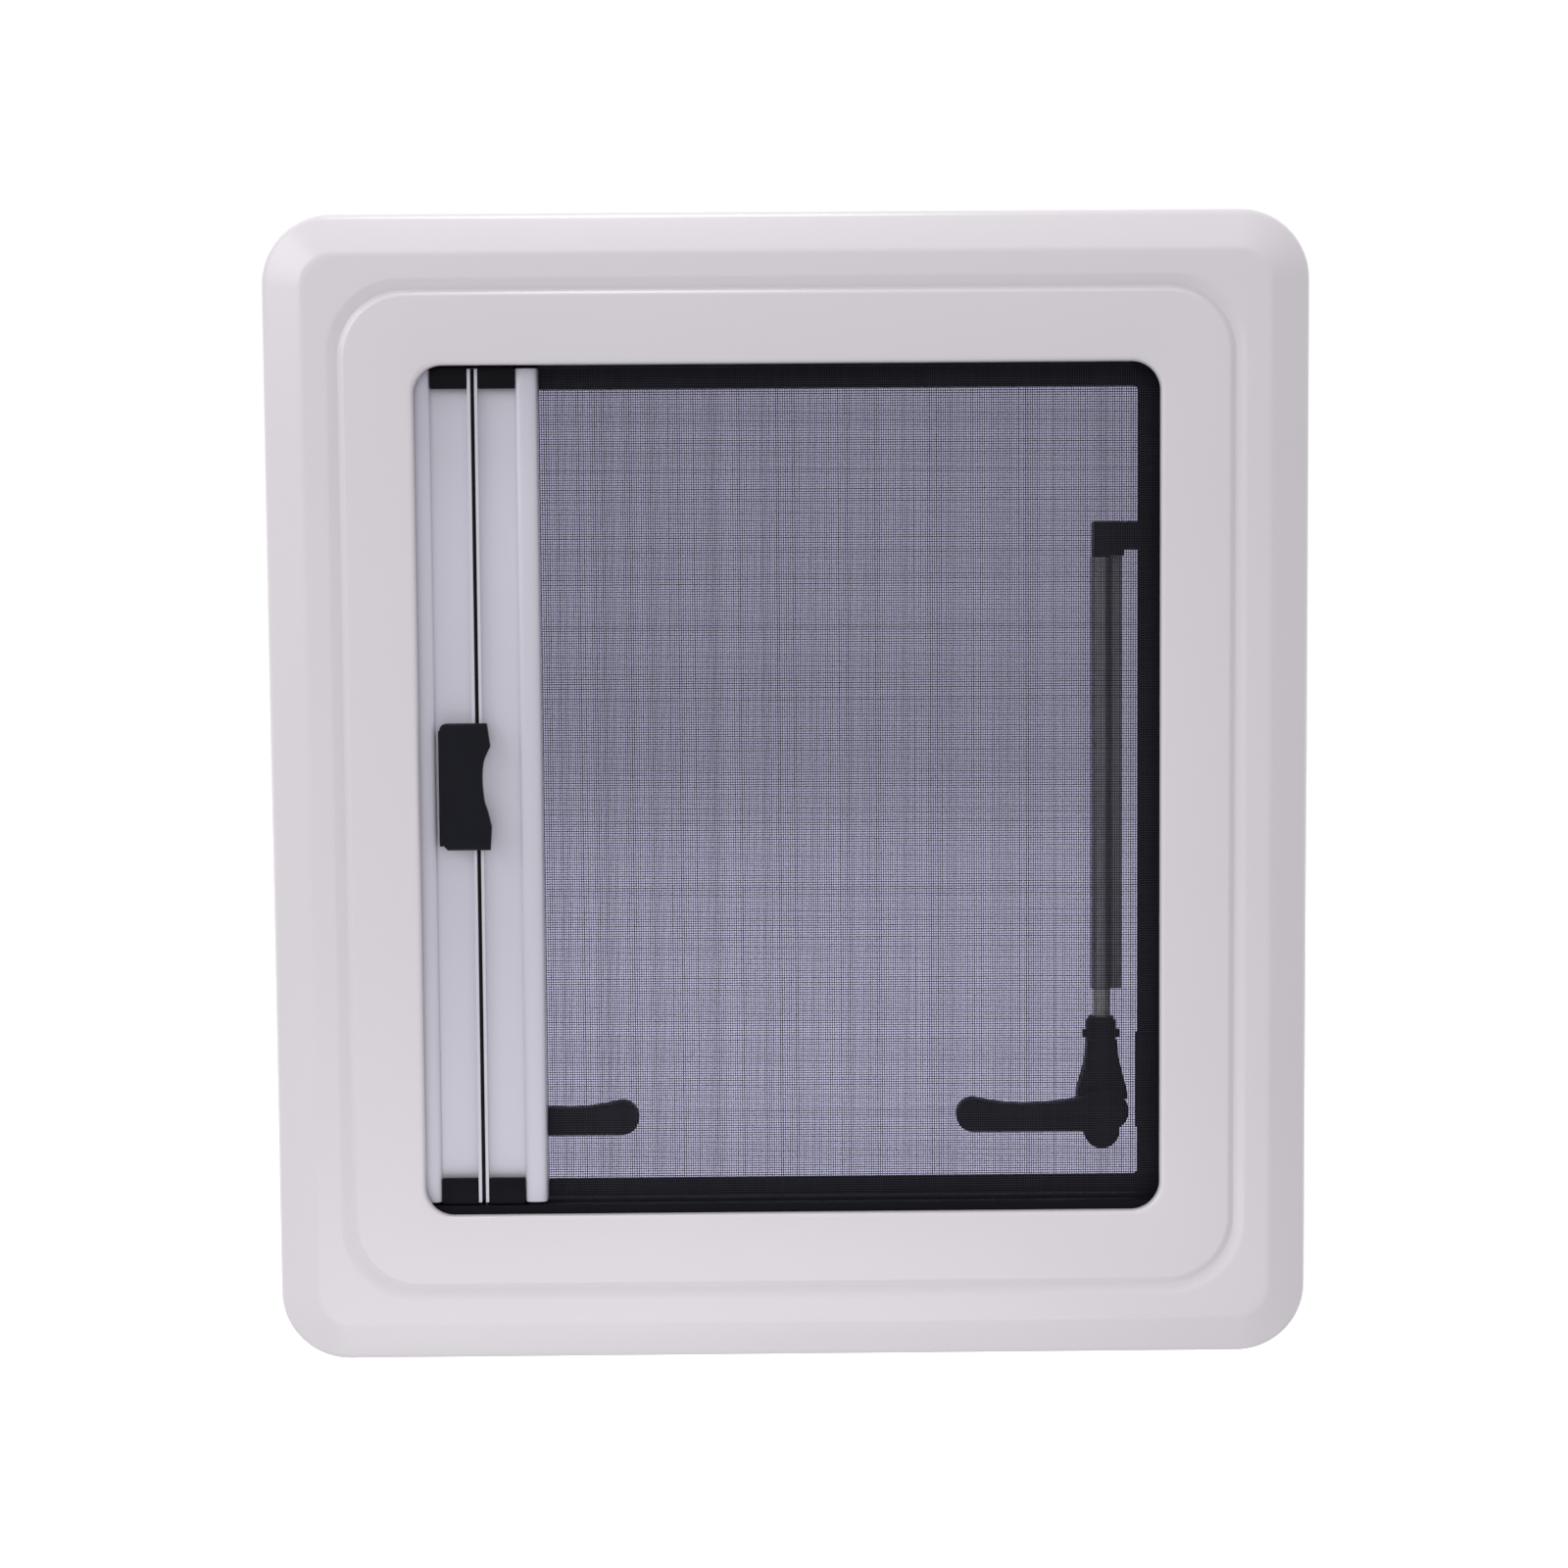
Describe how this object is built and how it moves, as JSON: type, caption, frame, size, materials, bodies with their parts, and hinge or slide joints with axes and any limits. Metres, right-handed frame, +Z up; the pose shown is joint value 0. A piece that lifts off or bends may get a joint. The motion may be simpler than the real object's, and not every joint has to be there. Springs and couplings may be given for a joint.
{
  "type": "push-out window",
  "caption": "Top-hung push-out window for a vehicle wall: inner trim with roller blind and insect screen, outer frame, double-skinned sash, lever latches and telescopic stays.",
  "frame": {"origin": "centre of the wall cut-out, on the wall's inner face", "axes": "+X to the right seen from inside, +Y outdoors through the wall, +Z up"},
  "size_m": [0.5074, 0.0755, 0.561],
  "materials": {
    "trim_plastic": "satin moulded",
    "frame_black": "fine satin",
    "seal_rubber": "matte",
    "rail_black": "satin powder coat",
    "clamp_steel": "zinc plated",
    "acrylic": "clear polished",
    "hardware_black": "satin moulded",
    "steel_pin": "plain",
    "stay_aluminium": "satin drawn",
    "track_black": "satin",
    "bar_silver": "satin painted",
    "roller_aluminium": "mill",
    "blind_cloth": "matt woven",
    "net": "woven monofilament"
  },
  "bodies": {
    "frame": {"inner_trim": "trim_plastic", "outer_frame": "frame_black", "wall_seal": "seal_rubber", "weather_seal": "seal_rubber", "wall_clamp_top_left": "clamp_steel", "wall_clamp_top_right": "clamp_steel", "wall_clamp_bottom_left": "clamp_steel", "wall_clamp_bottom_right": "clamp_steel", "frame_hinge_rail": "rail_black", "latch_keeper_left": "hardware_black", "latch_keeper_right": "hardware_black", "stay_frame_bracket_left": "hardware_black", "stay_frame_bracket_right": "hardware_black", "top_track": "track_black", "bottom_track": "track_black", "screen_cassette": "track_black", "blind_cassette": "track_black", "screen_cassette_cap_top": "track_black", "screen_cassette_cap_bottom": "track_black", "blind_cassette_cap_top": "track_black", "blind_cassette_cap_bottom": "track_black", "screen_mesh": "net", "blind_fabric": "blind_cloth"},
    "sash": {"outer_pane": "acrylic", "inner_pane": "acrylic", "sash_hinge_rail": "rail_black", "latch_base_left": "hardware_black", "latch_base_right": "hardware_black", "stay_sash_bracket_left": "hardware_black", "stay_sash_bracket_right": "hardware_black", "stay_pin_left": "steel_pin", "stay_pin_right": "steel_pin"},
    "blind_bar": {"blind_pull_bar": "bar_silver", "bar_seal": "seal_rubber", "blind_bar_cap_top": "track_black", "blind_bar_cap_bottom": "track_black", "handle_base": "hardware_black", "handle_pin": "steel_pin"},
    "screen_bar": {"screen_pull_bar": "bar_silver", "screen_bar_cap_top": "track_black", "screen_bar_cap_bottom": "track_black"},
    "handle": {"handle_latch": "hardware_black"},
    "blind_roller": {"blind_roller": "roller_aluminium", "blind_fabric_roll": "blind_cloth"},
    "screen_roller": {"screen_roller": "roller_aluminium"},
    "latch_left": {"latch_lever_left": "hardware_black", "latch_spindle_left": "steel_pin"},
    "stay_rod_left": {"stay_knuckle_left": "hardware_black", "stay_rod_left": "stay_aluminium"},
    "stay_lock_left": {"stay_lock_left": "hardware_black"},
    "stay_tube_left": {"stay_tube_left": "stay_aluminium", "stay_tube_cap_left": "hardware_black"},
    "latch_right": {"latch_lever_right": "hardware_black", "latch_spindle_right": "steel_pin"},
    "stay_rod_right": {"stay_knuckle_right": "hardware_black", "stay_rod_right": "stay_aluminium"},
    "stay_lock_right": {"stay_lock_right": "hardware_black"},
    "stay_tube_right": {"stay_tube_right": "stay_aluminium", "stay_tube_cap_right": "hardware_black"}
  },
  "joints": [
    {"name": "sash_hinge", "type": "hinge", "parent": "frame", "child": "sash", "pos_m": [0, 0.038, 0.239], "axis": [1, 0, 0], "range_deg": [0, 50]},
    {"name": "latch_left_turn", "type": "hinge", "parent": "sash", "child": "latch_left", "pos_m": [-0.1546, 0, -0.1614], "axis": [0, -1, 0], "range_deg": [0, 60]},
    {"name": "stay_left_swing", "type": "hinge", "parent": "sash", "child": "stay_rod_left", "pos_m": [-0.153, 0.009, -0.146], "axis": [1, 0, 0], "range_deg": [0, 13.5]},
    {"name": "stay_left_slide", "type": "slide", "parent": "stay_rod_left", "child": "stay_tube_left", "axis": [0, 0, 1], "range_m": [0, 0.0735]},
    {"name": "stay_left_lock_turn", "type": "hinge", "parent": "stay_rod_left", "child": "stay_lock_left", "pos_m": [-0.153, 0.009, -0.124], "axis": [0, 0, 1], "range_deg": [0, 90]},
    {"name": "latch_right_turn", "type": "hinge", "parent": "sash", "child": "latch_right", "pos_m": [0.1546, 0, -0.1614], "axis": [0, 1, 0], "range_deg": [0, 60]},
    {"name": "stay_right_swing", "type": "hinge", "parent": "sash", "child": "stay_rod_right", "pos_m": [0.153, 0.009, -0.146], "axis": [1, 0, 0], "range_deg": [0, 13.5]},
    {"name": "stay_right_slide", "type": "slide", "parent": "stay_rod_right", "child": "stay_tube_right", "axis": [0, 0, 1], "range_m": [0, 0.0735]},
    {"name": "stay_right_lock_turn", "type": "hinge", "parent": "stay_rod_right", "child": "stay_lock_right", "pos_m": [0.153, 0.009, -0.124], "axis": [0, 0, 1], "range_deg": [0, 90]},
    {"name": "blind_slide", "type": "slide", "parent": "frame", "child": "blind_bar", "axis": [1, 0, 0], "range_m": [0, 0.3], "deforming": ["blind_fabric"]},
    {"name": "screen_slide", "type": "slide", "parent": "frame", "child": "screen_bar", "axis": [1, 0, 0], "range_m": [0, 0.3], "deforming": ["screen_mesh"]},
    {"name": "handle_turn", "type": "hinge", "parent": "blind_bar", "child": "handle", "pos_m": [-0.1703, -0.021, 0.0035], "axis": [0, 0, -1], "range_deg": [0, 12], "stiffness_Nm_per_rad": 0.15},
    {"name": "blind_roller_turn", "type": "hinge", "parent": "frame", "child": "blind_roller", "pos_m": [-0.2045, -0.0115, 0], "axis": [0, 0, 1], "range_deg": [0, 1640]},
    {"name": "screen_roller_turn", "type": "hinge", "parent": "frame", "child": "screen_roller", "pos_m": [0.1989, -0.0115, 0], "axis": [0, 0, 1], "range_deg": [0, 2150]}
  ],
  "couplings": [
    {"joint": "stay_left_swing", "follows": "sash_hinge", "ratio": 0.26856},
    {"joint": "stay_left_slide", "follows": "sash_hinge", "m_per_rad": 0.084042},
    {"joint": "stay_right_swing", "follows": "sash_hinge", "ratio": 0.26856},
    {"joint": "stay_right_slide", "follows": "sash_hinge", "m_per_rad": 0.084042},
    {"joint": "screen_slide", "follows": "blind_slide", "ratio": 1},
    {"joint": "blind_roller_turn", "follows": "blind_slide", "rad_per_m": 95.238},
    {"joint": "screen_roller_turn", "follows": "blind_slide", "rad_per_m": 125}
  ]
}
